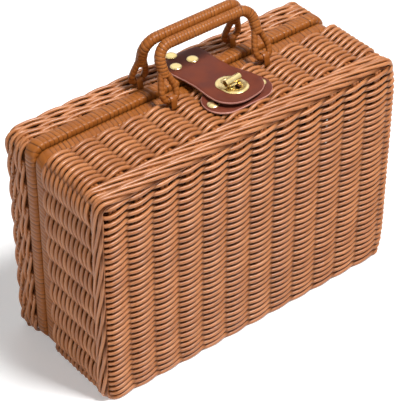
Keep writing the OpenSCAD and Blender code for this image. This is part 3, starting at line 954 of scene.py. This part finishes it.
# %% Brass material
brass, tree, shader = new_material("polished brass plate")
where = add(tree, "ShaderNodeTexCoord", out=3)
rub = add(tree, "ShaderNodeTexNoise", {"Vector": where, "Scale": 1 / (9 * MM), "Detail": 2.0})
tree.links.new(ramp_of(tree, rub, ((0.3, "#CFB67A"), (0.7, "#DECA96"))), shader.inputs["Base Color"])
shine = add(tree, "ShaderNodeMapRange", (rub, 0.3, 0.7, 0.24, 0.3))
tree.links.new(shine, shader.inputs["Roughness"])
shader.inputs["Metallic"].default_value = 1.0
print("material:", brass.name)

# %% [markdown]
# ## Rivets
# All rivets are the same dome with a thin brim. A tree puts one on every given point.

# %% Rivets tree and pieces
rivet_tree, r = new_tree("rivets", {"Spots": "o", "Dome": "o", "Material": "m"})
spots = shape_of(rivet_tree, r["Spots"])
dome = add(rivet_tree, "GeometryNodeObjectInfo", {"Object": r["Dome"], "As Instance": True}, out=None)
spots = add(rivet_tree, "GeometryNodeCurveToPoints", {"Curve": spots}, mode="EVALUATED")
set_rivets = add(rivet_tree, "GeometryNodeInstanceOnPoints",
                 {"Points": spots, "Instance": dome.outputs["Geometry"]})
end_tree(rivet_tree, set_rivets, r["Material"])


def lathe(name, profile, parts=24):
    """A turned shape from (radius, height) pairs; both ends lie on the axis."""
    mesh = bmesh.new()
    rings = []
    for radius, height in profile:
        if radius == 0:
            rings.append([mesh.verts.new((0, 0, height * MM))] * parts)
        else:
            rings.append([mesh.verts.new((radius * MM * math.cos(2 * math.pi * i / parts),
                                          radius * MM * math.sin(2 * math.pi * i / parts), height * MM))
                          for i in range(parts)])
    for a, b in zip(rings, rings[1:]):
        for i in range(parts):
            corners = []
            for vert in (a[i], a[(i + 1) % parts], b[(i + 1) % parts], b[i]):
                if vert not in corners:
                    corners.append(vert)
            mesh.faces.new(corners).smooth = True
    piece = to_piece(mesh, name)
    piece.data.set_sharp_from_angle(angle=math.radians(38))
    return piece


dome_shape = lathe("dome", [(0, 1.6), (2.0, 1.52), (3.4, 1.3), (4.4, 0.95), (5.0, 0.6), (5.25, 0.3),
                            (5.2, 0.0), (1.5, 0.0), (1.5, -3.0), (0, -3.0)])
STRAP_RIVETS = ((-11.0, 6.4), (7.0, 6.4), (-4.2, 21.8))
strap_spots = path_object([at(STRAP_X + x, BEND_Y + y, STRAP_TOP) for x, y in STRAP_RIVETS], False)
catch_spots = path_object([at(PATCH_X + s * (PATCH_W / 2 - 8), PATCH_REL_Y, PATCH_TOP) for s in (-1, 1)], False)
strap_rivets = grow("strap_rivet_heads", rivet_tree, {"Spots": strap_spots, "Dome": dome_shape, "Material": brass})
catch_rivets = grow("patch_rivet_heads", rivet_tree, {"Spots": catch_spots, "Dome": dome_shape, "Material": brass})
bpy.data.objects.remove(dome_shape)
count(strap_rivets)
count(catch_rivets)

# %% [markdown]
# ## Turn lock
# An oval plate frames the slot in the strap. The bar is a short rolled tube on a neck;
# turned along the slot it lets the strap go, turned across it holds it down.

# %% Lock plate
PLATE_LEVELS = [(8.0, 0.0), (8.0, 0.8), (7.3, 1.1), (3.0, 1.05), (0.9, 0.85), (0.15, 0.5), (0.0, 0.0)]


def plate_outline(inset):
    """Ovals that turn from the plate's outline into the slot's."""
    share = inset / 8.0
    return stadium(31.0 + (19.0 - 31.0) * share, 24.0 + (8.0 - 24.0) * share, 16)


plate = turned_plate("lock_oval", plate_outline, PLATE_LEVELS + [PLATE_LEVELS[0]],
                     lambda u, v, h: strap_point(u, LOCK_ALONG + v, h), (brass,), lambda level: 0)
bm = bmesh.new()
bm.from_mesh(plate.data)
bmesh.ops.remove_doubles(bm, verts=bm.verts, dist=0.005 * MM)
bmesh.ops.recalc_face_normals(bm, faces=bm.faces)
bm.to_mesh(plate.data)
bm.free()
count(plate)

# %% Turn bar and post
LOCK_X, LOCK_REL_Y, BAR_Z = 20.898, -37.839, 228.6
lock_place = Matrix.Translation(at(LOCK_X, LOCK_REL_Y, BAR_Z))
lock_turn = lock_place @ Matrix.Rotation(SKEW, 4, "Z")
bar = lathe("turn_bar_tube", [
    (0, -3.0), (2.4, -3.0), (2.4, -8.3), (2.6, -8.5), (3.0, -8.5), (3.2, -8.3),
    (3.2, 8.3), (3.0, 8.5), (2.6, 8.5), (2.4, 8.3), (2.4, 3.0), (0, 3.0)], 32)
bar.data.transform(lock_turn @ Matrix.Rotation(math.pi / 2, 4, "Y"))
neck = lathe("neck", [(0, -2.6), (1.8, -2.6), (1.8, -8.1), (0, -8.1)])
neck.data.transform(lock_place)
saddle = lathe("saddle", [(0, -1.0), (2.2, -1.2), (3.0, -2.0), (3.5, -2.8), (3.6, -3.5), (0, -3.5)])
saddle.data.transform(lock_turn @ Matrix.Diagonal((1.4, 1.0, 1.0, 1.0)))
turn_bar = join([bar, neck, saddle], "turn_bar")
turn_bar.data.materials.append(brass)
count(turn_bar)

# %% [markdown]
# ## Ties
# A band of flat cane holds each foot. It comes up behind the foot, goes over it and
# down into the weave in front. Its middle line is drawn in one plane and given width.

# %% Handle ties
flat_tie = cane_material("flat cane tie", WOUND_TONES, 0.3, 1.3)
TIE_HALF, TIE_HALF_T, TIE_R = 2.9, 0.55, 3.72


def make_ties(name, x, rel_y):
    """Two bands, one over each foot of a handle."""
    line = [(TIE_R * math.cos(math.radians(a)), TIE_R * math.sin(math.radians(a))) for a in range(-54, 181, 18)]
    line = [(2.4, -9.0), (2.3, -5.0)] + line + [(-4.0, -2.0), (-4.6, -5.0), (-4.8, -9.0)]
    pieces = []
    for s in (-1, 1):
        rings = []
        for i, (y, z) in enumerate(line):
            before, after = line[max(i - 1, 0)], line[min(i + 1, len(line) - 1)]
            along = Vector((after[0] - before[0], after[1] - before[1])).normalized()
            up = Vector((along.y, -along.x)) * TIE_HALF_T
            section = [(-TIE_HALF, -0.6), (-TIE_HALF + 0.5, -1.0), (TIE_HALF - 0.5, -1.0), (TIE_HALF, -0.6),
                       (TIE_HALF, 0.6), (TIE_HALF - 0.5, 1.0), (0.0, 1.25), (-TIE_HALF + 0.5, 1.0),
                       (-TIE_HALF, 0.6)]
            rings.append([at(x + s * SPAN / 2 + u, rel_y + y + v * up.x, PIVOT_Z + z + v * up.y)
                          for u, v in section])
        pieces.append(solid_from_rings(name, rings, lambda i: 0, (flat_tie,)))
    return join(pieces, name)


front_ties = make_ties("front_tie_bands", *FRONT_FEET)
count(front_ties)
lid_ties = make_ties("lid_tie_bands", *LID_FEET)
count(lid_ties)

# %% [markdown]
# ## Finishes on the pieces that stay
# Hinge loops and the lock's foot already have their true shape in the frame, so they
# only get their finish.

# %% Finish carried-over nodes
for node_name, material in (("hinge_loops", flat_tie), ("lock_post", brass)):
    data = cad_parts[node_name].data
    data.materials.clear()
    data.materials.append(material)
print("finished", 2, "carried-over nodes")

# %% [markdown]
# ## Joining pieces to the frame
# Every piece but the strap rides on the body it belongs to and stands for its construction node; the strap keeps
# its place and stands for the two strap nodes.

# %% Ride and replace
for piece, body, node_name, slot_name in (
        (front_panel, "front", "front_panel", "weave"), (front_wall, "front", "front_wall", "weave"),
        (front_wale, "front", "front_wale", "weave"), (front_rim, "front", "front_rim", "wrap"),
        (patch, "front", "catch_patch", "leather"), (catch_rivets, "front", "catch_rivets", "brass"),
        (lid_panel, "lid", "lid_panel", "weave"), (lid_wall, "lid", "lid_wall", "weave"),
        (lid_wale, "lid", "lid_wale", "weave"), (lid_rim, "lid", "lid_rim", "wrap"),
        (strap_rivets, "lid", "strap_rivets", "brass"), (plate, "strap", "strap_plate", "brass"),
        (turn_bar, "turn_bar", "lock_bar", "brass"), (front_handle, "front_grip", "front_handle", "wrap"),
        (lid_handle, "lid_grip", "lid_handle", "wrap"), (front_ties, "front", "front_handle_ties", "wrap"),
        (lid_ties, "lid", "lid_handle_ties", "wrap")):
    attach(piece, body)
    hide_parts(node_name)
strap_point(0, -1.2, 0)
strap_point(0, 2.4, 0)
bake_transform(strap)
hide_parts("strap_back", "strap_tongue")
for holder in paths:
    bpy.data.objects.remove(holder)

# %% [markdown]
# ## Floor, light and camera
# A white floor under soft light, as in a product photograph. The floor glows a little
# where the camera or a mirror sees it, so it reads as white and still takes the shadow.
# A standing case opens past the floor, so the floor clears where a part is beneath it:
# an occlusion test that looks down finds such places.

# %% Floor
floor_mesh = bpy.data.meshes.new("floor")
floor_mesh.from_pydata([(-6, -6, 0), (6, -6, 0), (6, 6, 0), (-6, 6, 0)], [], [(0, 1, 2, 3)])
floor = bpy.data.objects.new("floor", floor_mesh)
scene.collection.objects.link(floor)
paper, tree, shader = new_material("white studio floor")
shader.inputs["Roughness"].default_value = 0.9
shader.inputs["Emission Color"].default_value = (1, 1, 1, 1)
shader.inputs["Base Color"].default_value = linear("#F2F2F2")
rays = add(tree, "ShaderNodeLightPath", out=None).outputs
seen = calc(tree, "MAXIMUM", rays["Is Camera Ray"], rays["Is Glossy Ray"])
glow = calc(tree, "MULTIPLY", seen, 0.25)
tree.links.new(glow, shader.inputs["Emission Strength"])
below = add(tree, "ShaderNodeAmbientOcclusion", {"Distance": 1.0}, out=1, samples=48, inside=True)
clear = add(tree, "ShaderNodeMapRange", (below, 1.0, 0.98, 0.0, 1.0))
nothing = add(tree, "ShaderNodeBsdfTransparent")
fading = add(tree, "ShaderNodeMixShader", {0: clear, 1: shader.outputs[0], 2: nothing})
tree.links.new(fading, next(n for n in tree.nodes if n.type == "OUTPUT_MATERIAL").inputs["Surface"])
floor_mesh.materials.append(paper)
print("floor ready")

# %% World and lamps
world = bpy.data.worlds.new("studio")
scene.world = world
world.use_nodes = True
tree = world.node_tree
tree.nodes.clear()
rays = add(tree, "ShaderNodeLightPath", out=None).outputs
seen = calc(tree, "MAXIMUM", rays["Is Camera Ray"], rays["Is Glossy Ray"])
seen = calc(tree, "MAXIMUM", seen, rays["Is Transmission Ray"])
strength = add(tree, "ShaderNodeMapRange", (seen, 0.0, 1.0, 0.04, 1.0))
glow = add(tree, "ShaderNodeBackground", {"Color": (1, 1, 1, 1), "Strength": strength})
add(tree, "ShaderNodeOutputWorld", {"Surface": glow}, out=None)


def lamp(name, place, target, size, power):
    data = bpy.data.lights.new(name, "AREA")
    data.shape = "SQUARE"
    data.size = size
    data.energy = power
    light = bpy.data.objects.new(name, data)
    scene.collection.objects.link(light)
    light.location = place
    light.rotation_euler = (Vector(target) - Vector(place)).to_track_quat("-Z", "Y").to_euler()


lamp("key", (0.35, -0.8, 2.1), (0, 0, 0.1), 0.5, 65)
lamp("fill", (-1.6, -0.7, 1.0), (0, 0, 0.1), 1.2, 11)
lamp("back card", (0.75, 0.95, 1.5), (0, 0, 0.1), 1.8, 7)
print("light ready")

# %% Camera
camera_data = bpy.data.cameras.new("camera")
SENSOR = 36
FOCAL_PX, LONG_SIDE_PX = 1749.1, 413
camera_data.sensor_width = SENSOR
camera_data.lens = FOCAL_PX * SENSOR / LONG_SIDE_PX
camera = bpy.data.objects.new("camera", camera_data)
scene.collection.objects.link(camera)
camera.location = Vector((-750.3, -927.0, 1068.9)) * MM
aim = Vector((1.3, 7.1, 90.8)) * MM - camera.location
camera.rotation_euler = aim.to_track_quat("-Z", "Y").to_euler()
camera_data.clip_end = 50
scene.camera = camera
scene.view_settings.view_transform = "Standard"
print("camera at", [round(c, 3) for c in camera.location])
